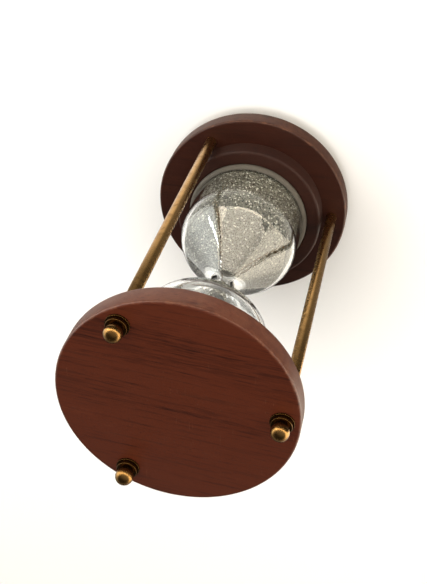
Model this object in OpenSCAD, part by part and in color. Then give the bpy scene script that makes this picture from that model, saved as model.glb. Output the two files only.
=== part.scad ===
// Hourglass: a sealed two-bulb glass held between two turned wooden discs.
// Three brass posts tie the discs together. Their threaded ends pass through
// the discs and take a washer and a ball nut on the outside, so the hourglass
// stands on three balls whichever way up it is turned.
// Lengths are in millimetres, +Z is up and z = 0 is the surface it stands on.

/* [Wooden ends] */
// Diameter of each wooden disc
disc_d = 84; // [80:1:120]
// Thickness of each wooden disc
disc_t = 8.8; // [7:0.2:12]
// Rounding of the disc edges
disc_round = 1; // [0.4:0.1:3]
// Diameter of the raised seat that holds a glass end
seat_d = 63.6; // [58:0.2:65]
// Height of the raised seat
seat_h = 8.4; // [7:0.2:12]
// Rounding of the seat's outer edge
seat_round = 1.3; // [0.4:0.1:3]

/* [Posts] */
// Clear distance between the inner faces of the two discs
post_gap = 127; // [118:1:150]
// Diameter of the circle that the posts stand on
post_circle_d = 71.6; // [71.4:0.2:73]
// Diameter of a brass post
post_d = 4.5; // [4:0.1:5.4]
// Diameter of a post's threaded end
spigot_d = 3.5; // [3:0.1:3.8]
// Radial play between a threaded end and its hole in the wood
spigot_play = 0.2; // [0.1:0.05:0.4]

/* [Ball nuts] */
// Diameter of a ball
ball_d = 6.4; // [6:0.1:7]
// Height of a ball nut with its washer, from the disc to its tip
nut_h = 8; // [7.8:0.1:8.4]
// Diameter of the small turned facet at a ball's tip
facet_d = 1; // [0.8:0.1:2.4]
// Diameter of the flange under a ball
flange_d = 7.4; // [6.6:0.1:8]
// Thickness of the flange under a ball
flange_t = 1.5; // [1:0.1:1.7]
// Diameter of the neck between flange and ball
nut_neck_d = 4.4; // [4:0.1:5]
// Diameter of a washer
washer_d = 8.4; // [8:0.1:10]
// Thickness of a washer
washer_t = 0.8; // [0.5:0.1:1]

/* [Glass] */
// Diameter of the glass bulbs
glass_d = 49; // [46:0.5:52]
// Wall thickness of the bulbs
wall = 1.5; // [1:0.1:2]
// Height of the end of a bulb's straight side above the disc
side_h = 28; // [24:0.5:32]
// Radius of a bulb's shoulder
shoulder_r = 15; // [10:0.5:18]
// Radius of the rounded edge at a bulb's closed end
heel_r = 3; // [2.5:0.1:4]
// Outer diameter of the waist
waist_d = 8.6; // [7:0.1:11]
// Radius of the hollow curve at the waist
waist_r = 9; // [5:0.5:14]
// Diameter of the hole that the sand runs through
orifice_d = 2; // [1:0.1:3]
// Thickness of the felt pad under each glass end
pad_t = 1; // [0.5:0.1:2]
// Width of the packing between the glass and its seat
packing_w = 1.5; // [1:0.1:2]

/* [Sand] */
// Height of the sand at the glass wall above the lower disc
sand_h = 34; // [24:0.5:37]
// Slope of the sand heap, in degrees
sand_slope = 26; // [15:1:32]
// Height of the last sand left in the upper throat
throat_sand_h = 7; // [3:0.5:12]

/* [Hidden] */
$fn = 96;

POST_ANGLES = [90, 210, 330];
wood_colour = [0.31, 0.14, 0.08];
brass_colour = [0.75, 0.58, 0.3];
glass_colour = [0.85, 0.9, 0.92, 0.35];
sand_colour = [0.6, 0.58, 0.54];
packing_colour = [0.62, 0.58, 0.52];
felt_colour = [0.25, 0.16, 0.12];

seat_z = nut_h + disc_t;             // inner face of the lower disc
waist_z = seat_z + post_gap / 2;     // plane of symmetry
glass_r = glass_d / 2;
half_gap = post_gap / 2;
seat_bore_r = glass_r + packing_w;
spigot_grip = 4.5;                   // thread inside a ball nut
bore_end = 0.5;                      // spare depth past the thread
facet_drop = sqrt(pow(ball_d / 2, 2) - pow(facet_d / 2, 2));
ball_z = nut_h - facet_drop;         // ball's centre above the disc
rim_bevel = 0.2;                     // on washers and flanges
post_bevel = 0.4;
seat_bevel = 0.4;
packing_low = pad_t + heel_r;        // packing starts above the rounded heel
packing_proud = 0.5;                 // its straight part's height over the seat
packing_h = seat_h + packing_proud - packing_low;
orifice_land = 0.4;                  // keeps the throat sand above the orifice
overcut = 1;                         // how far a cut runs past a face
eps = 0.01;

// Everything at the lower end is drawn from the disc's inner or outer face;
// the upper end is the same thing turned over about the waist.
module upper() {
    translate([0, 0, 2 * waist_z]) mirror([0, 0, 1]) children();
}

module at_post(k) {
    rotate([0, 0, POST_ANGLES[k]]) translate([post_circle_d / 2, 0, 0]) children();
}

// Half section of a turned plate with rounded outer corners.
module plate_section(r, t, rounding) {
    square([r - rounding, t]);
    translate([0, rounding]) square([r, t - 2 * rounding]);
    intersection() {
        translate([r - rounding, rounding]) circle(rounding);
        square([r, rounding]);
    }
    intersection() {
        translate([r - rounding, t - rounding]) circle(rounding);
        translate([0, t - rounding]) square([r, rounding]);
    }
}

// ---- wooden ends ----

module disc() {
    color(wood_colour)
    translate([0, 0, nut_h])
    difference() {
        rotate_extrude() plate_section(disc_d / 2, disc_t, disc_round);
        for (k = [0 : 2])
            at_post(k)
                translate([0, 0, -overcut])
                    cylinder(r = spigot_d / 2 + spigot_play, h = disc_t + 2 * overcut);
    }
}

// A ring with a rounded outer edge and a bevelled bore. It is the upper half
// of a plate, so that its lower edge stays square against the disc.
module seat() {
    color(wood_colour)
    translate([0, 0, seat_z])
    rotate_extrude()
    difference() {
        translate([0, -seat_h]) plate_section(seat_d / 2, 2 * seat_h, seat_round);
        translate([0, -2 * seat_h]) square([seat_d, 2 * seat_h]);
        translate([0, -overcut]) square([seat_bore_r, seat_h + 2 * overcut]);
        polygon([
            [seat_bore_r - overcut, seat_h + overcut],
            [seat_bore_r - overcut, seat_h - seat_bevel - overcut],
            [seat_bore_r, seat_h - seat_bevel],
            [seat_bore_r + seat_bevel, seat_h],
            [seat_bore_r + seat_bevel, seat_h + overcut]
        ]);
    }
}

module pad() {
    color(felt_colour)
    translate([0, 0, seat_z]) cylinder(r = glass_r - heel_r, h = pad_t);
}

// A soft ring in the gap round the glass, rounded off where it stands proud.
module packing() {
    color(packing_colour)
    translate([0, 0, seat_z])
    rotate_extrude()
    translate([glass_r, packing_low]) {
        square([packing_w, packing_h]);
        translate([0, packing_h])
        intersection() {
            circle(packing_w);
            square(packing_w);
        }
    }
}

// ---- glass and sand ----

// Half section of the lower bulb, from its closed end to the waist, with its
// height measured from the lower disc. It is drawn inset, by more at the
// waist than elsewhere, so one shape serves for both faces of the glass.
module bulb_section(inset, waist_inset) {
    r_side = glass_r - inset;
    r_shoulder = shoulder_r - inset;
    r_heel = heel_r - inset;
    r_waist = waist_r + waist_inset;
    low = pad_t + inset;
    shoulder = [glass_r - shoulder_r, side_h];
    waist = [waist_d / 2 + waist_r, half_gap];
    // The straight flank is the inner tangent of the shoulder and waist arcs.
    span = waist - shoulder;
    reach = norm(span);
    lean = atan2(span.y, span.x) - acos((r_shoulder + r_waist) / reach);
    toward = [cos(lean), sin(lean)];
    flank_low = shoulder + r_shoulder * toward;
    flank_high = waist - r_waist * toward;

    translate([0, low]) square([r_side - r_heel, r_heel + eps]);
    translate([0, low + r_heel]) square([r_side, side_h - low - r_heel]);
    intersection() {
        translate([r_side - r_heel, low + r_heel]) circle(r_heel);
        translate([0, low]) square([r_side, r_heel]);
    }
    intersection() {
        translate(shoulder) circle(r_shoulder);
        translate([0, side_h]) square([r_side, flank_low.y - side_h]);
    }
    polygon([[0, side_h], [shoulder.x, side_h], flank_low, flank_high, [0, flank_high.y]]);
    difference() {
        translate([0, flank_high.y]) square([flank_high.x, half_gap - flank_high.y + eps]);
        translate(waist) circle(r_waist);
    }
}

module whole_section(inset, waist_inset) {
    bulb_section(inset, waist_inset);
    translate([0, post_gap]) mirror([0, 1]) bulb_section(inset, waist_inset);
}

module outside_of_glass() {
    whole_section(0, 0);
}

module inside_of_glass() {
    whole_section(wall, (waist_d - orifice_d) / 2);
}

module glass_bulb() {
    color(glass_colour)
    translate([0, 0, seat_z])
    rotate_extrude()
    difference() {
        outside_of_glass();
        inside_of_glass();
    }
}

// The heap has a level rim at the wall and a cone under the waist.
module sand_lower() {
    reach = glass_d;
    color(sand_colour)
    translate([0, 0, seat_z])
    rotate_extrude()
    intersection() {
        inside_of_glass();
        polygon([
            [0, 0],
            [reach, 0],
            [reach, sand_h - (reach - glass_r) * tan(sand_slope)],
            [0, sand_h + glass_r * tan(sand_slope)]
        ]);
    }
}

module sand_upper() {
    low = half_gap + orifice_land;
    high = low + throat_sand_h;
    dish = tan(sand_slope);
    color(sand_colour)
    translate([0, 0, seat_z])
    rotate_extrude()
    intersection() {
        inside_of_glass();
        polygon([[0, low], [glass_r, low], [glass_r, high + glass_r * dish], [0, high]]);
    }
}

// ---- brass ----

module post(k) {
    end_h = disc_t + washer_t + spigot_grip;
    color(brass_colour)
    at_post(k)
    translate([0, 0, waist_z]) {
        cylinder(d = post_d, h = post_gap, center = true);
        cylinder(d = spigot_d - 2 * post_bevel, h = post_gap + 2 * end_h, center = true);
        cylinder(d = spigot_d, h = post_gap + 2 * (end_h - post_bevel), center = true);
    }
}

// A round plate with a small bevel on its lower, outward rim.
module rimmed_plate(d, t) {
    cylinder(d1 = d - 2 * rim_bevel, d2 = d, h = rim_bevel);
    translate([0, 0, rim_bevel]) cylinder(d = d, h = t - rim_bevel);
}

module washer(k) {
    color(brass_colour)
    at_post(k)
    translate([0, 0, nut_h - washer_t])
    difference() {
        rimmed_plate(washer_d, washer_t);
        translate([0, 0, -overcut])
            cylinder(r = (spigot_d + spigot_play) / 2, h = washer_t + 2 * overcut);
    }
}

// Ball, neck and flange turned in one piece, with a blind threaded hole.
module ball_nut(k) {
    seat_face = nut_h - washer_t;
    ball_centre = nut_h - ball_z;
    color(brass_colour)
    at_post(k)
    difference() {
        union() {
            intersection() {
                translate([0, 0, ball_centre]) sphere(d = ball_d);
                translate([0, 0, ball_d / 2]) cube([2 * ball_d, 2 * ball_d, ball_d], center = true);
            }
            translate([0, 0, ball_centre]) cylinder(d = nut_neck_d, h = seat_face - ball_centre);
            translate([0, 0, seat_face - flange_t]) rimmed_plate(flange_d, flange_t);
        }
        translate([0, 0, seat_face - spigot_grip - bore_end])
            cylinder(d = spigot_d, h = spigot_grip + bore_end + overcut);
    }
}

// ---- assembly ----

disc();  // bottom_disc
upper() disc();  // top_disc
seat();  // bottom_seat
upper() seat();  // top_seat
pad();  // bottom_pad
upper() pad();  // top_pad
packing();  // bottom_packing
upper() packing();  // top_packing
glass_bulb();
sand_lower();
sand_upper();
for (k = [0 : 2]) {
    post(k);
    washer(k);
    ball_nut(k);
    upper() washer(k);
    upper() ball_nut(k);
}
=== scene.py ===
import math

import bmesh
import bpy
from bpy.props import FloatProperty, FloatVectorProperty, IntProperty, PointerProperty
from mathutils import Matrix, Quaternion, Vector, noise


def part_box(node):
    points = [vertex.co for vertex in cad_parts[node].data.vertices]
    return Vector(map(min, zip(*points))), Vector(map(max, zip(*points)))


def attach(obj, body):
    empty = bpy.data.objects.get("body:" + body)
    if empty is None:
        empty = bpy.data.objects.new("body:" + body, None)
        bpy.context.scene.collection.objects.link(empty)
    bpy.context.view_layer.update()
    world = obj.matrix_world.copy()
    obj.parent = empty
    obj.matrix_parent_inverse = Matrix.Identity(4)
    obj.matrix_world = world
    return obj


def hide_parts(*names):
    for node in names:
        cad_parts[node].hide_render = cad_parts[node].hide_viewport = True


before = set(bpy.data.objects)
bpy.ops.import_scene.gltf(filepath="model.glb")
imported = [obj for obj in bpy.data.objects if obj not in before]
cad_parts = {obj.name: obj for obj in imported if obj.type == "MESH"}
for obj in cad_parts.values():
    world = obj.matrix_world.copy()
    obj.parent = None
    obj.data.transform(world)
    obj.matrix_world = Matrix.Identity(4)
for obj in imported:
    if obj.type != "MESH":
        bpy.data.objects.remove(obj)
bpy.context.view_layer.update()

bl_info = {
    "name": "Hourglass",
    "version": (1, 0, 0),
    "blender": (4, 5, 0),
    "location": "View3D > Sidebar > Hourglass",
    "description": "Builds the visible pieces of a wooden hourglass round its fixed frame",
    "category": "Object",
}

BODY = "root"

# Measures that come from the frame, in metres.
disc_low, disc_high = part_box("bottom_disc")
disc_radius = disc_high.x
disc_face = disc_high.z                       # inner face of the lower disc
top_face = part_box("top_disc")[0].z            # inner face of the upper disc
waist_height = (disc_face + top_face) / 2
seat_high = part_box("bottom_seat")[1]
packing_low, packing_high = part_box("bottom_packing")
pad_low, pad_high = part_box("bottom_pad")
glass_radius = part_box("glass_bulb")[1].x
post_low, post_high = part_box("post_1")
post_radius = (post_high.x - post_low.x) / 2
post_circle = (post_low.y + post_high.y) / 2
washer_low, washer_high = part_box("foot_washer_1")
nut_low, nut_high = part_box("foot_ball_1")
sand_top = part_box("sand_lower")[1].z
throat_low, throat_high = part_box("sand_upper")
POSTS = 3
FIRST_POST = math.radians(90)

ROUND = 192        # steps round a large turned piece
MIDDLE_ROUND = 96  # steps round a hidden or a thinned out piece
SMALL_ROUND = 64   # steps round a small turned piece
SHARP = 35         # angle in degrees over which an edge is sharp
MILLIMETRE = 0.001
PER_MM = 1000.0
FILM = 0.00012     # room between the glass and the grains on it


# ---------------- settings

def length(name, default, description):
    """A size in metres that the user can change."""
    return FloatProperty(
        name=name, description=description, default=default, min=0.0,
        precision=5, unit="LENGTH", subtype="DISTANCE",
    )


def angle(name, default, description):
    """An angle, given in degrees, that the user can change."""
    return FloatProperty(
        name=name, description=description, default=math.radians(default), subtype="ANGLE",
    )


def colour(name, default, description):
    """A colour that the user can change."""
    return FloatVectorProperty(
        name=name, description=description, default=default, min=0.0, max=1.0,
        size=3, subtype="COLOR",
    )


class WoodSettings(bpy.types.PropertyGroup):
    """Sizes and colours of the dark varnished wood."""

    edge: length("Edge rounding", 0.0010, "Rounding of the disc edges")
    seat_edge: length("Seat rounding", 0.0013, "Rounding of the seat's outer edge")
    seat_bevel: length("Seat bevel", 0.0004, "Bevel at the mouth of the seat's bore")
    ring: length("Growth rings", 0.0030, "Distance between two growth rings")
    bore: length("Bore radius", 0.00195, "Radius of the holes that the posts pass through")
    direction: angle("Grain direction", 24, "Direction of the grain, seen from above")
    dark: colour("Late wood", (0.020, 0.0042, 0.0022), "Colour of the dark streaks")
    middle: colour("Heartwood", (0.066, 0.0135, 0.0052), "Main colour of the wood")
    light: colour("Early wood", (0.105, 0.0255, 0.0100), "Colour of the light streaks")
    # Also a painted sheen: the pale colour that grazing light gives the rims.
    rubbed_and_lit: colour("Rubbed edge", (0.185, 0.074, 0.036), "Colour where the edges are worn")


class BrassSettings(bpy.types.PropertyGroup):
    """Sizes and colours of the brass."""

    ball: length("Ball radius", 0.0032, "Radius of a ball nut's ball")
    facet: length("Facet radius", 0.0005, "Radius of the turned facet at a ball's tip")
    dimple: length("Centre mark", 0.00022, "Radius of the centre mark in the facet")
    neck: length("Neck radius", 0.0022, "Radius of the neck between flange and ball")
    flange: length("Flange radius", 0.0037, "Radius of the flange under a ball")
    flange_thickness: length("Flange thickness", 0.0015, "Thickness of the flange")
    spigot: length("Spigot radius", 0.00175, "Radius of a post's threaded end")
    bright: colour("Bright brass", (0.56, 0.33, 0.115), "Colour of the rubbed brass")
    dull: colour("Tarnish", (0.30, 0.145, 0.040), "Colour of the tarnished brass")


class GlassSettings(bpy.types.PropertyGroup):
    """Sizes of the blown glass."""

    wall: length("Wall", 0.0015, "Thickness of the wall")
    side: length("Straight side", 0.0280, "Height of the end of the straight side over the disc")
    shoulder: length("Shoulder radius", 0.0150, "Radius of the shoulder")
    heel: length("Heel radius", 0.0030, "Radius of the rounded edge at the closed end")
    waist: length("Waist radius", 0.0043, "Outer radius of the waist")
    hollow: length("Waist curve", 0.0090, "Radius of the hollow curve at the waist")
    orifice: length("Orifice radius", 0.0010, "Radius of the hole that the sand runs through")
    tint: colour("Tint", (0.975, 0.990, 0.982), "Colour of the light that the glass passes")
    shade: colour("Shade", (0.93, 0.95, 0.94), "Colour of its shadow")


class SandSettings(bpy.types.PropertyGroup):
    """Sizes and colours of the sand."""

    grain: length("Grain size", 0.00050, "Diameter of a large grain")
    spacing: length("Grain spacing", 0.00072, "Smallest distance between two large grains")
    lumps: length("Unevenness", 0.0004, "Depth of the hollows in the heap's surface")
    gap: length("Gap", 0.00034, "Room between the packed sand and the glass, for the large grains")
    slope: angle("Slope", 26, "Slope of the heap")
    seed: IntProperty(name="Seed", description="Seed of the grains", default=7, min=0)
    dark: colour("Dark grains", (0.040, 0.038, 0.030), "Colour of the darkest grains")
    middle: colour("Grey grains", (0.145, 0.134, 0.104), "Colour of most grains")
    light: colour("Pale grains", (0.78, 0.76, 0.68), "Colour of the palest grains")


class SoftSettings(bpy.types.PropertyGroup):
    """Colours of the packing and the felt."""

    packing: colour("Packing", (0.085, 0.075, 0.061), "Colour of the packing")
    felt: colour("Felt", (0.040, 0.022, 0.016), "Colour of the felt")


class StageSettings(bpy.types.PropertyGroup):
    """The floor, the lights and the camera."""

    floor: colour("Floor", (0.94, 0.94, 0.935), "Colour of the floor")
    radius: length("Floor radius", 1.30, "Radius of the floor where it starts to rise")
    distance: length("Camera distance", 0.3747, "Distance from the camera to the waist")
    azimuth: angle("Camera azimuth", 12.21, "Direction of the camera, from -Y towards +X")
    elevation: angle("Camera elevation", 53.63, "Height of the camera over the horizon")
    roll: angle("Camera roll", -158.62, "Turn of the camera about its line of sight")
    lens: FloatProperty(name="Lens", description="Focal length in millimetres", default=59.03)
    aim: FloatVectorProperty(
        name="Aim", description="What the camera looks at, from the middle of the waist",
        default=(0.0015, 0.0027, 0.0017), size=3, subtype="XYZ",
    )


# ---------------- node trees

class Wire:
    """An output socket that takes part in sums like a number."""

    def __init__(self, bench, socket):
        self.bench = bench
        self.socket = socket

    def math(self, operation, *others):
        values = dict(enumerate((self, *others)))
        return self.bench.node("ShaderNodeMath", {"operation": operation}, values)

    def __add__(self, other):
        return self.math("ADD", other)

    def __sub__(self, other):
        return self.math("SUBTRACT", other)

    def __mul__(self, other):
        return self.math("MULTIPLY", other)

    def __truediv__(self, other):
        return self.math("DIVIDE", other)

    def __rsub__(self, other):
        return self * -1 + other

    __radd__ = __add__
    __rmul__ = __mul__

    def step(self, low, high):
        """0 below low, 1 above high and a smooth rise between them."""
        return self.bench.node(
            "ShaderNodeMapRange", {"interpolation_type": "SMOOTHSTEP"},
            {"Value": self, "From Min": low, "From Max": high},
        )


class Bench:
    """Adds nodes to one tree with short calls."""

    def __init__(self, tree):
        self.tree = tree

    def node(self, kind, settings=None, inputs=None, out=0):
        """Adds a node, sets it up, feeds its sockets and returns one of its outputs."""
        made = self.tree.nodes.new(kind)
        for key, value in (settings or {}).items():
            if key == "stops":
                self.set_stops(made.color_ramp, value)
            else:
                setattr(made, key, value)
        for key, value in (inputs or {}).items():
            if isinstance(value, Wire):
                self.tree.links.new(value.socket, made.inputs[key])
            else:
                made.inputs[key].default_value = value
        return Wire(self, made.outputs[out])

    @staticmethod
    def set_stops(ramp, stops):
        while len(ramp.elements) < len(stops):
            ramp.elements.new(0.5)
        for element, (place, tone) in zip(ramp.elements, stops):
            element.position = place
            element.color = (*tone, 1)

    def mix(self, factor, first, second):
        """Mixes two colours."""
        pick = {0: factor, 6: rgba(first), 7: rgba(second)}
        return self.node("ShaderNodeMix", {"data_type": "RGBA"}, pick, out=2)

    def vector(self, operation, *inputs, out=0, **named):
        values = {**dict(enumerate(inputs)), **named}
        return self.node("ShaderNodeVectorMath", {"operation": operation}, values, out=out)

    def noise(self, place, scale, detail, roughness):
        values = {"Vector": place, "Scale": scale, "Detail": detail, "Roughness": roughness}
        return self.node("ShaderNodeTexNoise", {}, values)

    def stretched(self, place, x, y, z):
        return self.vector("MULTIPLY", place, (x, y, z))

    def axis(self, place, letter):
        """One of a vector's three numbers."""
        return self.node("ShaderNodeSeparateXYZ", {}, {"Vector": place}, out=letter)


def rgba(tone):
    """A colour that a colour socket takes."""
    return tone if isinstance(tone, Wire) else (*tone, 1)


class Finish(Bench):
    """The node tree of one material."""

    def __init__(self, name):
        self.material = bpy.data.materials.new(name)
        self.material.use_nodes = True
        super().__init__(self.material.node_tree)
        self.tree.nodes.clear()
        self.place = self.node("ShaderNodeTexCoord", out="Object")

    def millimetres(self):
        """Object coordinates in millimetres."""
        return self.stretched(self.place, PER_MM, PER_MM, PER_MM)

    def mapped(self, scale, turn=0.0, shift=(0, 0, 0)):
        """Object coordinates shifted, turned about Z and then scaled."""
        moved = self.node(
            "ShaderNodeMapping", {"vector_type": "POINT"},
            {"Vector": self.place, "Rotation": (0, 0, turn), "Location": shift},
        )
        return self.vector("MULTIPLY", moved, scale)

    def bump(self, height, distance, strength):
        """A normal that is tilted by a height, which distance turns into metres."""
        values = {"Height": height, "Distance": distance, "Strength": strength}
        return self.node("ShaderNodeBump", {}, values)

    def finish(self, surface):
        output = self.tree.nodes.new("ShaderNodeOutputMaterial")
        self.tree.links.new(surface.socket, output.inputs["Surface"])
        return self.material

    def principled(self, **values):
        """Ends the material with one Principled shader, its sockets named with underscores."""
        inputs = {key.replace("_", " "): value for key, value in values.items()}
        if not isinstance(inputs["Base Color"], Wire):
            inputs["Base Color"] = rgba(inputs["Base Color"])
        return self.node("ShaderNodeBsdfPrincipled", {}, inputs)


# ---------------- finishes

def varnished_wood(name, settings, shift, radius, low, high, turn, stain_and_shade, wear_and_sheen, gloss):
    """Dark hardwood under satin varnish: growth rings, fibres, pores and edges with rubbing and painted
    sheen.

    radius, low and high say where the turned piece's edges are, stain_and_shade how light it is (a low
    value also paints in shade), wear_and_sheen how much its edges are lightened by rubbing and painted
    sheen and gloss how much varnish is left. The rims get patches of painted sheen, as if lit by
    grazing light, partly real rubbing.
    """
    f = Finish(name)
    board = f.mapped((PER_MM, PER_MM, PER_MM), -(settings.direction + turn), shift)
    along = f.stretched(board, 0.045, 1.0, 1.0)
    sway = f.noise(along, 0.11, 2.0, 0.5)
    pith_depth = 46.0
    away = f.axis(board, "Y") + (sway - 0.5) * 16.0 + f.axis(board, "X") * 0.05
    depth = f.axis(board, "Z") + pith_depth
    pith = (away * away + depth * depth).math("SQRT") / (settings.ring * PER_MM)
    rings = f.node("ShaderNodeTexNoise", {"noise_dimensions": "1D"},
                   {"W": pith, "Scale": 1.0, "Detail": 3.0, "Roughness": 0.62})
    cloud = f.noise(along, 0.055, 3.0, 0.55)
    streak = f.noise(f.stretched(board, 0.035, 1.0, 1.0), 0.85, 3.0, 0.6)
    fibre = f.noise(f.stretched(board, 0.05, 1.0, 1.0), 3.4, 4.0, 0.65)
    cells = f.noise(f.stretched(board, 0.16, 1.0, 1.0), 4.2, 1.0, 0.4)
    pores = cells.step(0.60, 0.72) * rings.step(0.35, 0.75)

    figure = rings * 0.34 + cloud * 0.30 + streak * 0.46 + fibre * 0.34
    tone = f.node("ShaderNodeValToRGB", {"stops": [
        (0.56, tuple(settings.dark)), (0.68, tuple(settings.middle)),
        (0.76, tuple(settings.middle)), (0.90, tuple(settings.light)),
    ]}, {"Fac": figure})
    dusk = streak.step(0.54, 0.66)
    tone = f.mix(dusk * 0.45, tone, settings.dark)
    tone = f.mix(pores * 0.72, tone, [value * 0.35 for value in settings.dark])
    # Painted shade as well as darker staining: a low value darkens the whole piece, and on the lower
    # disc and the seats it stands for the shade of the upper disc.
    tone = f.mix(1 - stain_and_shade, tone, (0, 0, 0))

    spot = f.axis(f.place, "Z")
    reach = f.vector("LENGTH", f.stretched(f.place, 1, 1, 0), out="Value")
    outward = (radius - reach) * PER_MM
    upward = (spot - low).math("MINIMUM", high - spot) * PER_MM
    corner = (outward * outward + upward * upward).math("SQRT")
    millimetres = f.millimetres()
    patches = f.noise(millimetres, 0.35, 3.0, 0.6)
    # Painted sheen, partly real rubbing: patches on the rims and on the rounded edges take the pale
    # colour that grazing light gives them.
    rim_worn_and_lit = (1 - outward.step(0.05, 0.60)) * (patches * 0.5 + fibre * 0.5).step(0.30, 0.62)
    tone = f.mix(rim_worn_and_lit * wear_and_sheen * 0.30, tone, settings.rubbed_and_lit)
    worn_and_lit = (1 - corner.step(0.30, 0.95)) * patches.step(0.50, 0.68) * wear_and_sheen
    tone = f.mix(worn_and_lit * 0.35, tone, settings.rubbed_and_lit)
    smear = f.noise(millimetres, 0.085, 4.0, 0.6)
    scratch = f.noise(f.mapped((0.05 * PER_MM, 2.6 * PER_MM, 2.6 * PER_MM), 1.05), 1.6, 1.0, 0.3)
    lines = scratch.step(0.735, 0.765) * patches.step(0.52, 0.60)
    tone = f.mix(lines * 0.30, tone, settings.rubbed_and_lit)

    rough = 0.30 + 0.22 * (1 - gloss) + smear * 0.16 + fibre * 0.10
    rough = rough + pores * 0.20 + worn_and_lit * 0.10 + lines * 0.15
    relief = f.bump(fibre * 0.35 - pores - lines * 0.4 + rings * 0.25, 0.00006, 0.55)
    surface = f.principled(
        Base_Color=tone, Roughness=rough, Normal=relief, IOR=1.40,
        Coat_Weight=0.10 * gloss, Coat_Roughness=0.16, Coat_IOR=1.45,
    )
    return f.finish(surface)


def turned_brass(name, settings, drawn, tarnished, dimmed=0.0, shade_and_grime=None):
    """Brass gone dull in patches.

    drawn says how strongly the marks run along Z, tarnished how dull and dimmed how dark it is, as
    painted shade for the ball nuts' dimmer reflections. shade_and_grime gives the heights in
    millimetres over a nut's seating face between which painted shade round the neck and flange, partly
    polish residue, fades out.
    """
    f = Finish(name)
    millimetres = f.millimetres()
    cloud = f.noise(millimetres, 0.30, 4.0, 0.62)
    blots = f.noise(millimetres, 1.3, 3.0, 0.6)
    along = f.stretched(millimetres, 1.0, 1.0, 0.03)
    drawing = f.noise(along, 7.0, 2.0, 0.5)
    across = f.stretched(millimetres, 0.15, 0.15, 1.0)
    turning = f.noise(across, 9.0, 2.0, 0.5)
    marks = drawing * drawn + turning * (1 - drawn)
    tarnish = (cloud * (0.7 + 0.3 * drawn) + blots * (0.3 - 0.3 * drawn)).step(0.42, 0.72)
    specks = blots.step(0.68, 0.76) * (1.15 - drawn)
    tone = f.mix((tarnish * 0.6 + 0.4) * tarnished, settings.bright, settings.dull)
    tone = f.mix(specks * 0.3, tone, [value * 0.45 for value in settings.dull])
    tone = f.mix((marks - 0.5) * 0.4 + 0.08, tone, settings.dull)
    darkest_brass = [value * 0.22 for value in settings.dull]
    # Painted shade: a uniform darkening of the whole piece that stands for the dimmer reflections of
    # the ball nuts and washers.
    tone = f.mix(dimmed, tone, darkest_brass)
    # Painted shade: the neck and the flange darken towards the disc, where the ball and the disc shade
    # them; part of it stands for polish residue.
    if shade_and_grime:
        above = (f.axis(f.place, "Z") - waist_height).math("ABSOLUTE") - (waist_height - nut_high.z)
        darkening = 1 - (above * PER_MM).step(*shade_and_grime)
        tone = f.mix(darkening * (0.75 + cloud * 0.3), tone, darkest_brass)
    rough = 0.20 + tarnish * 0.14 + marks * 0.08 + specks * 0.20
    relief = f.bump(marks * drawn + specks * 0.25, 0.000006, 0.4 - 0.25 * drawn)
    surface = f.principled(Base_Color=tone, Metallic=1.0, Roughness=rough, Normal=relief)
    return f.finish(surface)


def blown_glass(name, settings):
    """Clear glass with faint ripples, clearer to lamps so that the sand inside is lit."""
    f = Finish(name)
    millimetres = f.millimetres()
    swell = f.noise(millimetres, 0.075, 2.0, 0.5)
    rings = f.noise(f.stretched(millimetres, 0.05, 0.05, 1.0), 0.45, 2.0, 0.5)
    relief = f.bump(swell + rings * 0.03, 0.0009, 0.035)
    glass = f.principled(
        Base_Color=tuple(settings.tint), Roughness=0.0, IOR=1.52,
        Transmission_Weight=1.0, Normal=relief,
    )
    lamps = f.node("ShaderNodeLightPath", out="Is Shadow Ray")
    clear = f.node("ShaderNodeBsdfTransparent", {}, {"Color": rgba(tuple(settings.shade))})
    mixed = f.node("ShaderNodeMixShader", {}, {0: lamps, 1: glass, 2: clear})
    return f.finish(mixed)


def silver_sand(name, settings):
    """Grey quartz sand: every grain has its own tone, shine and tilt."""
    f = Finish(name)
    millimetres = f.millimetres()
    cells = {"Vector": millimetres, "Scale": 2.0, "Randomness": 1.0}
    own = f.node("ShaderNodeTexVoronoi", {}, cells, out="Color")
    body = f.node("ShaderNodeTexVoronoi", {}, cells, out="Distance")
    luck = f.node("ShaderNodeSeparateColor", {}, {"Color": own}, out=0)
    shine = f.node("ShaderNodeSeparateColor", {}, {"Color": own}, out=1)
    tone = f.node("ShaderNodeValToRGB", {"stops": [
        (0.0, tuple(settings.dark)), (0.30, tuple(settings.middle)),
        (0.84, tuple(settings.middle)), (0.92, tuple(settings.light)),
    ]}, {"Fac": luck})
    drift = f.noise(millimetres, 0.16, 3.0, 0.6)
    tone = f.mix(drift.step(0.35, 0.7) * 0.25, tone, settings.dark)
    # Painted shade: each cell darkens towards its edge, as if shade fell in the gaps between grains.
    tone = f.mix(body.step(0.45, 0.75) * 0.7, tone, settings.dark)
    mirror = shine.step(0.80, 0.82)
    spread = f.vector("SUBTRACT", own, (0.5, 0.5, 0.5))
    tilt = f.vector("SCALE", spread, Scale=1.5)
    facing = f.node("ShaderNodeNewGeometry", out="Normal")
    facet = f.vector("NORMALIZE", f.vector("ADD", facing, tilt))
    rough = 0.62 - mirror * 0.44
    surface = f.principled(
        Base_Color=tone, Metallic=mirror * 0.75, Roughness=rough, Normal=facet, IOR=1.54,
    )
    return f.finish(surface)


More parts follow.
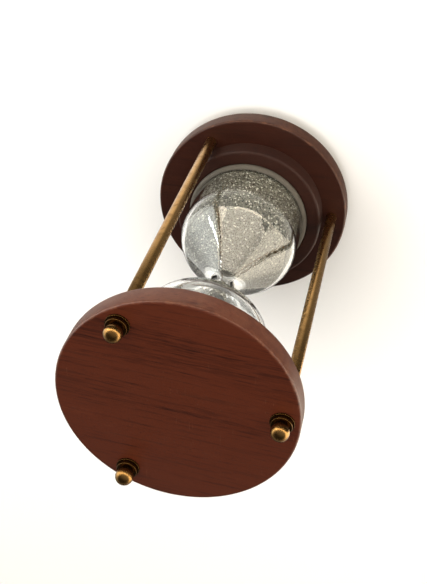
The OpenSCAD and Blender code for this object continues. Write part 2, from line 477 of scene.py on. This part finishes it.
def soft_packing(name, settings):
    """Pale pressed fibre, a little dirty, with a matt face."""
    f = Finish(name)
    millimetres = f.millimetres()
    fibre = f.noise(f.stretched(millimetres, 1.0, 1.0, 0.5), 3.5, 4.0, 0.7)
    darkening = f.noise(millimetres, 0.22, 3.0, 0.6)
    soiled = [value * 0.45 for value in settings.packing]
    tone = f.mix(darkening.step(0.45, 0.75) * 0.45, settings.packing, soiled)
    tone = f.mix((fibre - 0.45) * 1.1, tone, [value * 1.7 for value in settings.packing])
    relief = f.bump(fibre, 0.00025, 0.7)
    surface = f.principled(Base_Color=tone, Roughness=0.82 - fibre * 0.15, Normal=relief)
    return f.finish(surface)


def brown_felt(name, settings):
    """Felt: tangled short fibres."""
    f = Finish(name)
    millimetres = f.millimetres()
    tangle = f.noise(millimetres, 4.5, 5.0, 0.75)
    clumps = f.noise(millimetres, 0.8, 3.0, 0.6)
    tone = f.mix(tangle.step(0.4, 0.75), settings.felt, [value * 2.4 for value in settings.felt])
    relief = f.bump(tangle + clumps * 0.5, 0.0004, 0.8)
    surface = f.principled(
        Base_Color=tone, Roughness=0.92 - clumps * 0.1, Normal=relief,
        Sheen_Weight=0.5, Sheen_Roughness=0.5,
    )
    return f.finish(surface)


def matt_floor(name, settings):
    """A plain pale floor."""
    f = Finish(name)
    mottle = f.noise(f.place, 9.0, 2.0, 0.5)
    tone = f.mix(mottle, settings.floor, [value * 0.985 for value in settings.floor])
    surface = f.principled(Base_Color=tone, Roughness=0.75, Specular_IOR_Level=0.2)
    return f.finish(surface)


# ---------------- shapes

def arc(centre, radius, start, end, steps):
    """Points on a round corner in the (radius, height) plane, from one angle in degrees to another."""
    across, up = centre
    angles = [math.radians(start + (end - start) * k / steps) for k in range(steps + 1)]
    return [Vector((across + radius * math.cos(a), up + radius * math.sin(a))) for a in angles]


def turned_mesh(outline, steps, ring=False):
    """A bmesh turned about the Z axis from (radius, height) points.

    A ring's outline closes on itself; any other outline starts and ends on the axis.
    """
    shape = bmesh.new()
    loops = []
    on_axis = 1e-7
    for radius, height in outline:
        if radius < on_axis:
            loops.append([shape.verts.new((0, 0, height))])
            continue
        angles = [2 * math.pi * k / steps for k in range(steps)]
        loops.append([
            shape.verts.new((radius * math.cos(a), radius * math.sin(a), height)) for a in angles
        ])
    for low, high in zip(loops, loops[1:] + loops[:1] if ring else loops[1:]):
        for k in range(steps):
            n = (k + 1) % steps
            corners = (low[k % len(low)], low[n % len(low)], high[n % len(high)], high[k % len(high)])
            corners = list(dict.fromkeys(corners))   # a loop on the axis has one point only
            if len(corners) > 2:
                shape.faces.new(corners)
    bmesh.ops.recalc_face_normals(shape, faces=shape.faces)
    return shape


def finished(name, shape, material, sharp=SHARP):
    """Makes a bmesh an object with smooth faces and sharp edges."""
    mesh = bpy.data.meshes.new(name)
    shape.to_mesh(mesh)
    shape.free()
    mesh.materials.append(material)
    mesh.shade_smooth()
    mesh.set_sharp_from_angle(angle=math.radians(sharp))
    piece = bpy.data.objects.new(name, mesh)
    bpy.context.scene.collection.objects.link(piece)
    return piece


def turned(name, outline, material, steps=ROUND, ring=False):
    """A piece turned about the Z axis."""
    return finished(name, turned_mesh(outline, steps, ring), material)


def upside_down(outline):
    """The same outline at the other end of the hourglass."""
    return [Vector((p[0], 2 * waist_height - p[1])) for p in outline]


def plain(piece):
    """Replaces a piece's mesh by its evaluated one and removes the modifiers."""
    bpy.context.view_layer.update()
    graph = bpy.context.evaluated_depsgraph_get()
    mesh = bpy.data.meshes.new_from_object(piece.evaluated_get(graph), depsgraph=graph)
    piece.modifiers.clear()
    old = piece.data
    mesh.name = piece.name
    piece.data = mesh
    bpy.data.meshes.remove(old)


def grown(piece, tree, values):
    """Runs a geometry tree on a piece and keeps the result as a plain mesh."""
    modifier = piece.modifiers.new(tree.name, "NODES")
    modifier.node_group = tree
    for item in tree.interface.items_tree:
        if item.in_out == "INPUT" and item.name in values:
            modifier[item.identifier] = values[item.name]
    plain(piece)


def fit_to_body(piece, slot, *nodes):
    """Joins a piece to the body and hides the solids that it stands for. slot is not used."""
    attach(piece, BODY)
    if nodes:
        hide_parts(*nodes)


def post_places():
    """Centres of the posts on the discs."""
    angles = [FIRST_POST + 2 * math.pi * k / POSTS for k in range(POSTS)]
    return [Vector((post_circle * math.cos(a), post_circle * math.sin(a), 0)) for a in angles]


def drilled(piece, radius, low, high):
    """Cuts the three post holes through a piece."""
    drills = bmesh.new()
    for place in post_places():
        drill = turned_mesh([(0, low), (radius, low), (radius, high), (0, high)], SMALL_ROUND)
        bmesh.ops.translate(drill, verts=drill.verts, vec=place)
        part = bpy.data.meshes.new("drill")
        drill.to_mesh(part)
        drill.free()
        drills.from_mesh(part)
        bpy.data.meshes.remove(part)
    mesh = bpy.data.meshes.new("drills")
    drills.to_mesh(mesh)
    drills.free()
    cutter = bpy.data.objects.new("drills", mesh)
    bpy.context.scene.collection.objects.link(cutter)
    cut = piece.modifiers.new("drill", "BOOLEAN")
    cut.object = cutter
    cut.operation = "DIFFERENCE"
    cut.solver = "EXACT"
    plain(piece)
    bpy.data.objects.remove(cutter)
    bpy.data.meshes.remove(mesh)
    piece.data.set_sharp_from_angle(angle=math.radians(SHARP))


# ---------------- geometry trees

def new_tree(name, inputs):
    """A geometry tree with a geometry output, and its bench and input sockets by name."""
    tree = bpy.data.node_groups.new(name, "GeometryNodeTree")
    tree.interface.new_socket(name="Geometry", in_out="INPUT", socket_type="NodeSocketGeometry")
    for title, kind in inputs.items():
        tree.interface.new_socket(name=title, in_out="INPUT", socket_type=kind)
    tree.interface.new_socket(name="Geometry", in_out="OUTPUT", socket_type="NodeSocketGeometry")
    bench = Bench(tree)
    entry = tree.nodes.new("NodeGroupInput")
    wires = {s.name: Wire(bench, s) for s in entry.outputs if s.name}
    return tree, bench, wires


def close_tree(tree, bench, shape, material):
    """Ends a geometry tree in Realize Instances and Set Material."""
    real = bench.node("GeometryNodeRealizeInstances", {}, {0: shape})
    done = bench.node("GeometryNodeSetMaterial", {}, {"Geometry": real, "Material": material})
    leave = tree.nodes.new("NodeGroupOutput")
    tree.links.new(done.socket, leave.inputs[0])


def ring_tree():
    """Repeats a turned piece at every post."""
    tree, bench, wires = new_tree("one_at_every_post", {
        "Posts": "NodeSocketInt", "Circle radius": "NodeSocketFloat",
        "First angle": "NodeSocketFloat", "Material": "NodeSocketMaterial",
    })
    circle = bench.node("GeometryNodeMeshCircle", {"fill_type": "NONE"},
                        {"Vertices": wires["Posts"], "Radius": wires["Circle radius"]})
    turn = bench.node("ShaderNodeCombineXYZ", {}, {"Z": wires["First angle"]})
    placed = bench.node("GeometryNodeTransform", {}, {"Geometry": circle, "Rotation": turn})
    turn_per_post = 2.1   # radians, about a third of a turn: a piece turns with its place
    index = bench.node("GeometryNodeInputIndex")
    around = bench.node("ShaderNodeCombineXYZ", {}, {"Z": index * turn_per_post})
    pieces = bench.node("GeometryNodeInstanceOnPoints", {}, {
        "Points": placed, "Instance": wires["Geometry"], "Rotation": around,
    })
    close_tree(tree, bench, pieces, wires["Material"])
    return tree


def grain_nodes(bench, wires, surface):
    """Scatters grains over a surface and returns them as instances."""
    points = bench.node("GeometryNodeDistributePointsOnFaces", {"distribute_method": "POISSON"}, {
        "Mesh": surface, "Distance Min": wires["Grain spacing"],
        "Density Max": wires["Density"], "Seed": wires["Seed"],
    })
    grain = bench.node("GeometryNodeMeshIcoSphere", {},
                       {"Radius": wires["Grain size"] * 0.5, "Subdivisions": 1})
    turns = bench.node("FunctionNodeRandomValue", {"data_type": "FLOAT_VECTOR"}, {
        "Max": (2 * math.pi,) * 3, "Seed": wires["Seed"],
    })
    sizes = bench.node("FunctionNodeRandomValue", {"data_type": "FLOAT_VECTOR"}, {
        "Min": (0.62, 0.62, 0.50), "Max": (1.15, 1.15, 0.95), "Seed": wires["Seed"] + 1,
    })
    return bench.node("GeometryNodeInstanceOnPoints", {}, {
        "Points": points, "Instance": grain, "Rotation": turns, "Scale": sizes,
    })


GRAIN_INPUTS = {
    "Grain size": "NodeSocketFloat", "Grain spacing": "NodeSocketFloat",
    "Density": "NodeSocketFloat", "Seed": "NodeSocketInt", "Material": "NodeSocketMaterial",
}


def heap_tree():
    """Sinks hollows into packed sand and covers it with grains."""
    tree, bench, wires = new_tree("sand_with_grains", {**GRAIN_INPUTS, "Unevenness": "NodeSocketFloat"})
    place = bench.node("GeometryNodeInputPosition")
    lumps = bench.noise(place, 160.0, 4.0, 0.6)
    outward = bench.node("GeometryNodeInputNormal")
    depth = lumps * wires["Unevenness"] * -1
    shift = bench.vector("SCALE", outward, Scale=depth)
    body = bench.node("GeometryNodeSetPosition", {}, {"Geometry": wires["Geometry"], "Offset": shift})
    grains = grain_nodes(bench, wires, body)
    both = bench.node("GeometryNodeJoinGeometry", {}, {0: grains})
    tree.links.new(body.socket, both.socket.node.inputs[0])
    close_tree(tree, bench, both, wires["Material"])
    return tree


def stray_tree():
    """Scatters single grains over a surface and leaves the surface out."""
    tree, bench, wires = new_tree("stray_grains", GRAIN_INPUTS)
    close_tree(tree, bench, grain_nodes(bench, wires, wires["Geometry"]), wires["Material"])
    return tree


# ---------------- outlines

def disc_outline(edge):
    """A wooden disc with rounded edges."""
    low = arc((disc_radius - edge, disc_low.z + edge), edge, -90, 0, 8)
    high = arc((disc_radius - edge, disc_face - edge), edge, 0, 90, 8)
    return [Vector((0, disc_low.z)), *low, *high, Vector((0, disc_face))]


def seat_outline(edge, bevel):
    """The ring that holds a glass end, with a rounded outer edge and a bevelled bore."""
    outer = seat_high.x
    bore = packing_high.x
    top = seat_high.z
    return [
        Vector((bore, disc_face)), Vector((outer, disc_face)),
        *arc((outer - edge, top - edge), edge, 0, 90, 8),
        Vector((bore + bevel, top)), Vector((bore, top - bevel)),
    ]


def packing_outline():
    """The packing ring, rounded off where it stands proud of the seat."""
    width = packing_high.x - glass_radius
    shoulder = packing_high.z - width
    straight = shoulder - packing_low.z
    return [
        Vector((glass_radius, packing_low.z)),
        *[Vector((packing_high.x, packing_low.z + straight * k / 4)) for k in range(4)],
        *arc((glass_radius, shoulder), width, 0, 90, 8),
    ]


def pad_outline():
    """A felt disc with soft edges."""
    edge = (pad_high.z - pad_low.z) * 0.35
    radius = pad_high.x
    low = arc((radius - edge, pad_low.z + edge), edge, -90, 0, 4)
    high = arc((radius - edge, pad_high.z - edge), edge, 0, 90, 4)
    return [Vector((0, pad_low.z)), *low, *high, Vector((0, pad_high.z))]


def bulb_outline(glass, inset, waist_inset):
    """The lower bulb from its closed end to the waist, drawn inset from the outer face."""
    heel = glass.heel - inset
    low = pad_high.z + inset
    side = glass_radius - inset
    shoulder = Vector((glass_radius - glass.shoulder, disc_face + glass.side))
    hollow = Vector((glass.waist + glass.hollow, waist_height))
    span = hollow - shoulder
    reach = glass.shoulder - inset + glass.hollow + waist_inset
    lean = math.degrees(math.atan2(span.y, span.x) - math.acos(reach / span.length))
    return [
        Vector((0, low)),
        *arc((side - heel, low + heel), heel, -90, 0, 10),
        *arc(shoulder, glass.shoulder - inset, 0, lean, 32),
        *arc(hollow, glass.hollow + waist_inset, 180 + lean, 180, 32),
    ]


def vessel_outline(glass, inset, waist_inset):
    """Both bulbs."""
    lower = bulb_outline(glass, inset, waist_inset)
    return lower + upside_down(lower[:-1])[::-1]


def inner_outline(glass, gap):
    """The lower half of the glass's inner face, with some more room."""
    orifice_inset = glass.waist - glass.orifice
    return bulb_outline(glass, glass.wall + gap, orifice_inset + gap)


def heap_outline(glass, sand):
    """The sand in the lower bulb: it fills the bulb up to a cone with a blunt tip."""
    blunt = 3 * MILLIMETRE
    slope = math.tan(sand.slope)
    tip = sand_top - sand.gap + slope * blunt * 0.5

    def cone(radius):
        return tip - slope * math.hypot(radius, blunt)

    packed = [p for p in inner_outline(glass, sand.gap) if p.y <= cone(p.x)]
    return packed + [Vector((radius, cone(radius))) for radius in inwards(packed[-1].x, 40)]


def throat_outline(glass, sand):
    """The last sand in the upper throat, dished on top."""
    slope = math.tan(sand.slope)
    wall = [p for p in upside_down(inner_outline(glass, FILM))[::-1] if throat_low.z <= p.y]
    dish = throat_high.z - wall_radius_at(wall, throat_high.z) * slope
    packed = [p for p in wall if p.y <= dish + p.x * slope]
    top = [Vector((radius, dish + radius * slope)) for radius in inwards(packed[-1].x, 8)]
    return [Vector((0, packed[0].y)), *packed, *top]


def inwards(rim_worn_and_lit, steps):
    """Radii in even steps from just inside a rim to the axis."""
    return [rim_worn_and_lit * (1 - k / steps) for k in range(1, steps + 1)]


def wall_radius_at(wall, height):
    """Radius of a wall outline at a height."""
    return min(wall, key=lambda p: abs(p.y - height)).x


def nut_outline(brass):
    """A ball nut from its tip to the seating face: facet, ball, neck and flange, bored blind."""
    tip = nut_low.z
    centre = tip + math.sqrt(brass.ball ** 2 - brass.facet ** 2)
    seat = nut_high.z
    flange = seat - brass.flange_thickness
    lip = 0.00035
    clear = 0.0003
    start = math.degrees(math.asin(brass.facet / brass.ball)) - 90
    end = math.degrees(math.acos(brass.neck / brass.ball))
    bore_floor = post_low.z - clear
    return [
        Vector((0, tip + brass.dimple)), Vector((brass.dimple, tip)),
        *arc((0, centre), brass.ball, start, end, 36),
        Vector((brass.neck, flange)),
        *arc((brass.flange - lip, flange + lip), lip, -90, 0, 5),
        *arc((brass.flange - lip, seat - lip), lip, 0, 90, 5),
        Vector((brass.spigot, seat)), Vector((brass.spigot, bore_floor)), Vector((0, bore_floor)),
    ]


def washer_outline(brass):
    """A washer with rounded rims."""
    outer = (washer_high.x - washer_low.x) / 2
    clear = 0.0001
    inner = brass.spigot + clear
    lip = 0.0002
    return [
        Vector((inner, washer_high.z)), Vector((inner, washer_low.z)),
        *arc((outer - lip, washer_low.z + lip), lip, -90, 0, 4),
        *arc((outer - lip, washer_high.z - lip), lip, 0, 90, 4),
    ]


def post_outline(brass):
    """A post with reduced ends and small bevels."""
    bevel = 0.0004
    lip = 0.00015
    lower = [
        Vector((0, post_low.z)), Vector((brass.spigot - bevel, post_low.z)),
        Vector((brass.spigot, post_low.z + bevel)), Vector((brass.spigot, disc_face)),
        *arc((post_radius - lip, disc_face + lip), lip, -90, 0, 3),
    ]
    return lower + upside_down(lower)[::-1]


# ---------------- operators

class HOURGLASS_OT_wooden_ends(bpy.types.Operator):
    """Turns the two wooden discs and the rings that hold the glass"""

    bl_idname = "hourglass.wooden_ends"
    bl_label = "Wooden ends"

    def execute(self, context):
        wood = context.scene.hourglass_wood
        room = 0.002
        # The lower board is much darker: painted shade from the upper disc, on top of darker staining.
        boards = (
            ("bottom", (3.0, 11.0, 4.0), 0.12, 0.42, 0.5, lambda outline: outline),
            ("top", (-20.0, -5.0, -100.0), 0.0, 1.0, 1.0, upside_down),
        )
        for end, shift, turn, stain_and_shade, gloss, place in boards:
            outline = place(disc_outline(wood.edge))
            heights = [p[1] for p in outline]
            low, high = min(heights), max(heights)
            finish = varnished_wood(
                f"{end}_board", wood, shift, disc_radius, low, high, turn, stain_and_shade, wear_and_sheen=1.0, gloss=gloss,
            )
            disc = turned(f"wooden_end_{end}", outline, finish)
            drilled(disc, wood.bore, low - room, high + room)
            fit_to_body(disc, "dark_wood", f"{end}_disc")

            outline = place(seat_outline(wood.seat_edge, wood.seat_bevel))
            heights = [p[1] for p in outline]
            # The edge on the disc is left out of the edges that are lightened by rubbing and painted
            # sheen.
            low = disc_face - room if end == "bottom" else min(heights)
            high = max(heights) if end == "bottom" else top_face + room
            ring_shift = (shift[1], shift[0], shift[2] + 9.0)
            # The seats are darker than their boards: painted shade between the discs.
            finish = varnished_wood(
                f"{end}_seat_wood", wood, ring_shift, seat_high.x, low, high,
                turn + 0.25, stain_and_shade * 0.85, wear_and_sheen=0.05, gloss=0.0,
            )
            seat = turned(f"seat_ring_{end}", outline, finish, ring=True)
            fit_to_body(seat, "dark_wood", f"{end}_seat")
        return {"FINISHED"}


class HOURGLASS_OT_soft_parts(bpy.types.Operator):
    """Makes the packing rings and the felt pads that hold the glass ends"""

    bl_idname = "hourglass.soft_parts"
    bl_label = "Packing and felt"

    def execute(self, context):
        soft = context.scene.hourglass_soft
        packing = soft_packing("pressed_packing", soft)
        felt = brown_felt("brown_felt", soft)
        for end, place in (("bottom", lambda outline: outline), ("top", upside_down)):
            shape = turned_mesh(place(packing_outline()), ROUND, ring=True)
            self.roughen(shape)
            ring = finished(f"packing_ring_{end}", shape, packing)
            fit_to_body(ring, "packing", f"{end}_packing")
            pad = turned(f"felt_pad_{end}", place(pad_outline()), felt, steps=MIDDLE_ROUND)
            fit_to_body(pad, "felt", f"{end}_pad")
        return {"FINISHED"}

    @staticmethod
    def roughen(shape):
        """Presses shallow dents into the free edge of a packing ring."""
        dent = 0.00022
        coarse, fine = 260, 900
        for vert in shape.verts:
            from_end = min(vert.co.z - disc_face, top_face - vert.co.z)
            free = from_end + disc_face > seat_high.z
            if free and vert.co.xy.length > glass_radius + dent:
                wave = noise.noise(vert.co * coarse) + 0.5 * noise.noise(vert.co * fine)
                inward = dent * (0.5 + 0.5 * wave)
                vert.co.xy -= vert.co.xy.normalized() * inward


class HOURGLASS_OT_glass(bpy.types.Operator):
    """Blows the glass vessel, with an outer and an inner face"""

    bl_idname = "hourglass.glass"
    bl_label = "Glass"

    def execute(self, context):
        glass = context.scene.hourglass_glass
        outer = turned_mesh(vessel_outline(glass, 0, 0), ROUND)
        inner = turned_mesh(vessel_outline(glass, glass.wall, glass.waist - glass.orifice), ROUND)
        bmesh.ops.reverse_faces(inner, faces=inner.faces)
        lining = bpy.data.meshes.new("lining")
        inner.to_mesh(lining)
        inner.free()
        outer.from_mesh(lining)
        bpy.data.meshes.remove(lining)
        vessel = finished("glass_vessel", outer, blown_glass("blown_glass", glass), sharp=80)
        fit_to_body(vessel, "clear_glass", "glass_bulb")
        return {"FINISHED"}


class HOURGLASS_OT_sand(bpy.types.Operator):
    """Fills the lower bulb with sand and leaves a little in the throat and on the glass"""

    bl_idname = "hourglass.sand"
    bl_label = "Sand"

    def execute(self, context):
        glass = context.scene.hourglass_glass
        sand = context.scene.hourglass_sand
        finish = silver_sand("silver_sand", sand)
        heap = turned("sand_heap", heap_outline(glass, sand), finish)
        values = {
            "Grain size": sand.grain, "Grain spacing": sand.spacing, "Density": 6.0e6,
            "Seed": sand.seed, "Material": finish, "Unevenness": sand.lumps,
        }
        heaped = heap_tree()
        grown(heap, heaped, values)
        fit_to_body(heap, "sand", "sand_lower")

        throat = turned("sand_in_throat", throat_outline(glass, sand), finish, steps=SMALL_ROUND)
        fine = {**values, "Grain size": 0.00026, "Grain spacing": 0.00030, "Unevenness": 0.0001}
        grown(throat, heaped, fine)
        fit_to_body(throat, "sand", "sand_upper")

        few = {**values, "Grain size": 0.00028, "Grain spacing": 0.0016, "Density": 2.2e4}
        many = {**values, "Grain size": 0.00030, "Grain spacing": 0.00052, "Density": 2.4e6}
        bare_end, neck_reach = 0.012, 0.0075
        scattered = stray_tree()
        self.cling(
            "stray_grains", glass, FILM, scattered, few,
            lambda height: sand_top - bare_end <= height <= top_face - bare_end,
        )
        self.cling(
            "neck_grains", glass, 0.0001, scattered, many,
            lambda height: abs(height - waist_height) <= neck_reach,
        )
        return {"FINISHED"}

    @staticmethod
    def cling(name, glass, film, tree, values, covered):
        """Scatters grains over the glass's inner face at the heights that are covered."""
        outline = vessel_outline(glass, glass.wall + film, glass.waist - glass.orifice)
        lining = turned_mesh(outline, MIDDLE_ROUND)
        bare = [v for v in lining.verts if not covered(v.co.z)]
        bmesh.ops.delete(lining, geom=bare, context="VERTS")
        grains = finished(name, lining, values["Material"])
        grown(grains, tree, values)
        fit_to_body(grains, "sand")


class HOURGLASS_OT_brass(bpy.types.Operator):
    """Makes the posts, washers and ball nuts, three of each"""

    bl_idname = "hourglass.brass"
    bl_label = "Brass"

    def execute(self, context):
        brass = context.scene.hourglass_brass
        drawn = turned_brass("drawn_brass", brass, drawn=0.8, tarnished=0.45)
        lathed = turned_brass("lathed_brass", brass, 0.2, 0.85, dimmed=0.5, shade_and_grime=(1.5, 4.2))
        ring = ring_tree()
        numbers = range(1, POSTS + 1)
        parts = [
            ("brass_posts", post_outline(brass), drawn, "post", False),
            ("foot_ball_nuts", nut_outline(brass), lathed, "foot_ball", False),
            ("cap_ball_nuts", upside_down(nut_outline(brass)), lathed, "cap_ball", False),
            ("foot_washers", washer_outline(brass), lathed, "foot_washer", True),
            ("cap_washers", upside_down(washer_outline(brass)), lathed, "cap_washer", True),
        ]
        for name, outline, finish, node, is_ring in parts:
            piece = turned(name, outline, finish, steps=SMALL_ROUND, ring=is_ring)
            grown(piece, ring, {
                "Posts": POSTS, "Circle radius": post_circle, "First angle": FIRST_POST,
                "Material": finish,
            })
            fit_to_body(piece, "brass", *[f"{node}_{k}" for k in numbers])
        return {"FINISHED"}


class HOURGLASS_OT_stage(bpy.types.Operator):
    """Lays the floor, hangs the lights and places the camera"""

    bl_idname = "hourglass.stage"
    bl_label = "Stage"

    def execute(self, context):
        stage = context.scene.hourglass_stage
        self.floor(stage)
        self.lights()
        self.sky(context)
        self.camera(context, stage)
        return {"FINISHED"}

    @staticmethod
    def floor(stage):
        """A round floor that rises softly at its edge. Shiny faces show the dim room in its place."""
        rise = 0.45
        outline = [(0, 0), *arc((stage.radius, rise), rise, -90, -5, 24)]
        shape = turned_mesh(outline, 128)
        if shape.faces[0].normal.z < 0:
            bmesh.ops.reverse_faces(shape, faces=shape.faces)
        floor = finished("floor", shape, matt_floor("pale_floor", stage), sharp=80)
        floor.visible_glossy = False

    @staticmethod
    def lights():
        """Two bright screens on the camera's side, a lamp strip between them and one box overhead.

        The glass shows the screens' lower edges as the edge of its pale reflection. The warm one
        is nearly level in the middle and falls away at both ends, the cool one falls evenly. The
        box lights matt faces only. Azimuths and elevations are in degrees.
        """
        middle, crest, sag, reach, lowest = 281, 10.0, 15.5, 69, -42
        meeting, start, fall = 344, -6, 0.40
        top = 20
        warm_edge = [
            (azimuth, max(lowest, crest - sag * (abs(azimuth - middle) / reach) ** 4))
            for azimuth in range(128, meeting + 1, 4)
        ]
        cool_edge = [
            (azimuth, start - fall * (azimuth - meeting)) for azimuth in range(meeting, 436, 7)
        ]
        warm = glowing_cloth("warm_cloth", (1.0, 0.90, 0.74), 7.6, end=-0.60, west=0.64)
        cool = glowing_cloth("cool_cloth", (0.95, 0.96, 0.91), 4.3, end=-0.90, west=1.0)
        screen("warm_screen", warm_edge, top, warm)
        screen("cool_screen", cool_edge, top, cool)
        softbox("lamp_strip", 341.5, 6.9, 0.90, (0.52, 0.010), (0.95, 0.98, 1.0), 30.0, tilt=-21)
        overhead = softbox("overhead", 320, 80, 1.0, (0.60, 0.60), (1.0, 0.975, 0.945), 8.2)
        overhead.visible_glossy = False
        overhead.visible_transmission = False

    @staticmethod
    def sky(context):
        """Dim light from all round: a little on the camera's side, some from under a shiny piece."""
        world = bpy.data.worlds.new("dim_room")
        context.scene.world = world
        world.use_nodes = True
        world.node_tree.nodes.clear()
        bench = Bench(world.node_tree)
        way = bench.node("ShaderNodeTexCoord", out="Generated")
        east, north, up = (bench.axis(way, letter) for letter in "XYZ")
        under = (1 - up.step(-0.80, -0.68)) * (east.step(-0.05, 0.45) * 1.15 + 0.25)
        level = up.step(-0.1, 0.1) * (1 - up.step(0.35, 0.65)) * 0.28
        front = (north * -1).step(-0.2, 0.7) * up.step(0.0, 0.4) * 0.35
        glow = bench.node("ShaderNodeBackground", {}, {
            "Color": (1.0, 0.95, 0.88, 1), "Strength": under + level + front + 0.06,
        })
        leave = world.node_tree.nodes.new("ShaderNodeOutputWorld")
        world.node_tree.links.new(glow.socket, leave.inputs["Surface"])
        context.scene.view_settings.view_transform = "Standard"

    @staticmethod
    def camera(context, stage):
        """Looks at the waist from above."""
        data = bpy.data.cameras.new("camera")
        data.lens = stage.lens
        camera = bpy.data.objects.new("camera", data)
        back = direction(math.degrees(stage.azimuth) - 90, math.degrees(stage.elevation))
        look_back(camera, Vector(stage.aim), back, stage.distance, stage.roll)
        context.scene.camera = camera


def direction(azimuth, elevation):
    """The unit vector of a direction in degrees, from +X and from the horizon."""
    a, e = math.radians(azimuth), math.radians(elevation)
    return Vector((math.cos(a) * math.cos(e), math.sin(a) * math.cos(e), math.sin(e)))


def look_back(thing, aim, outward, distance, roll):
    """Places a camera or lamp outward of a point near the waist, looks at the point and rolls."""
    bpy.context.scene.collection.objects.link(thing)
    thing.location = Vector((0, 0, waist_height)) + aim + outward * distance
    thing.rotation_mode = "QUATERNION"
    turn = Quaternion((0, 0, 1), roll)
    thing.rotation_quaternion = (-outward).to_track_quat("-Z", "Y") @ turn


def glowing_cloth(name, tone, radiance, end, west):
    """A lit screen that fades behind the hourglass, to the rest at end metres in front of it.

    west is the share of its light that is left on the -X side.
    """
    fade, rest = 0.75, 0.15
    f = Finish(name)
    front = f.axis(f.place, "Y") * -1
    east = f.axis(f.place, "X")
    glow = f.mix(front.step(end, end + fade), [value * rest for value in tone], tone)
    glow = f.mix(east.step(-0.55, 0.0), f.mix(1 - west, glow, (0, 0, 0)), glow)
    surface = f.principled(
        Base_Color=(0, 0, 0), Roughness=1.0, Emission_Color=glow, Emission_Strength=radiance,
    )
    return f.finish(surface)


def screen(name, edge, top, material):
    """A curved screen round the waist from a lower edge of (azimuth, elevation) points to a top."""
    far = 0.95
    steps = 4
    shape = bmesh.new()
    waist = Vector((0, 0, waist_height))
    rows = []
    for azimuth, low in edge:
        heights = [low + (top - low) * k / steps for k in range(steps + 1)]
        rows.append([shape.verts.new(waist + direction(azimuth, h) * far) for h in heights])
    for here, there in zip(rows, rows[1:]):
        for k in range(steps):
            shape.faces.new((here[k], there[k], there[k + 1], here[k + 1]))
    made = finished(name, shape, material, sharp=80)
    made.visible_camera = False
    return made


def softbox(name, azimuth, elevation, distance, size, tone, radiance, tilt=0.0):
    """A rectangular light that faces the waist, unseen by the camera."""
    data = bpy.data.lights.new(name, "AREA")
    data.shape = "RECTANGLE"
    data.size, data.size_y = size
    data.color = tone
    data.energy = radiance * math.pi * size[0] * size[1]
    lamp = bpy.data.objects.new(name, data)
    look_back(lamp, Vector(), direction(azimuth, elevation), distance, math.radians(tilt))
    lamp.visible_camera = False
    return lamp


# ---------------- panel

STEPS = (
    HOURGLASS_OT_wooden_ends, HOURGLASS_OT_soft_parts, HOURGLASS_OT_glass,
    HOURGLASS_OT_sand, HOURGLASS_OT_brass, HOURGLASS_OT_stage,
)
SETTINGS = {
    "hourglass_wood": WoodSettings, "hourglass_brass": BrassSettings,
    "hourglass_glass": GlassSettings, "hourglass_sand": SandSettings,
    "hourglass_soft": SoftSettings, "hourglass_stage": StageSettings,
}


class HOURGLASS_PT_pieces(bpy.types.Panel):
    """Lists the pieces of the hourglass with their sizes and colours"""

    bl_label = "Hourglass"
    bl_space_type = "VIEW_3D"
    bl_region_type = "UI"
    bl_category = "Hourglass"

    def draw(self, context):
        for step in STEPS:
            self.layout.operator(step.bl_idname)
        for group in SETTINGS:
            box = self.layout.box()
            values = getattr(context.scene, group)
            for key in values.__annotations__:
                box.prop(values, key)


CLASSES = (*SETTINGS.values(), *STEPS, HOURGLASS_PT_pieces)


def register():
    for cls in CLASSES:
        bpy.utils.register_class(cls)
    for name, cls in SETTINGS.items():
        setattr(bpy.types.Scene, name, PointerProperty(type=cls))


def unregister():
    for name in SETTINGS:
        delattr(bpy.types.Scene, name)
    for cls in reversed(CLASSES):
        bpy.utils.unregister_class(cls)


def main():
    register()
    bpy.ops.hourglass.stage()
    bpy.ops.hourglass.wooden_ends()
    bpy.ops.hourglass.soft_parts()
    bpy.ops.hourglass.glass()
    bpy.ops.hourglass.sand()
    bpy.ops.hourglass.brass()


if __name__ == "__main__":
    main()
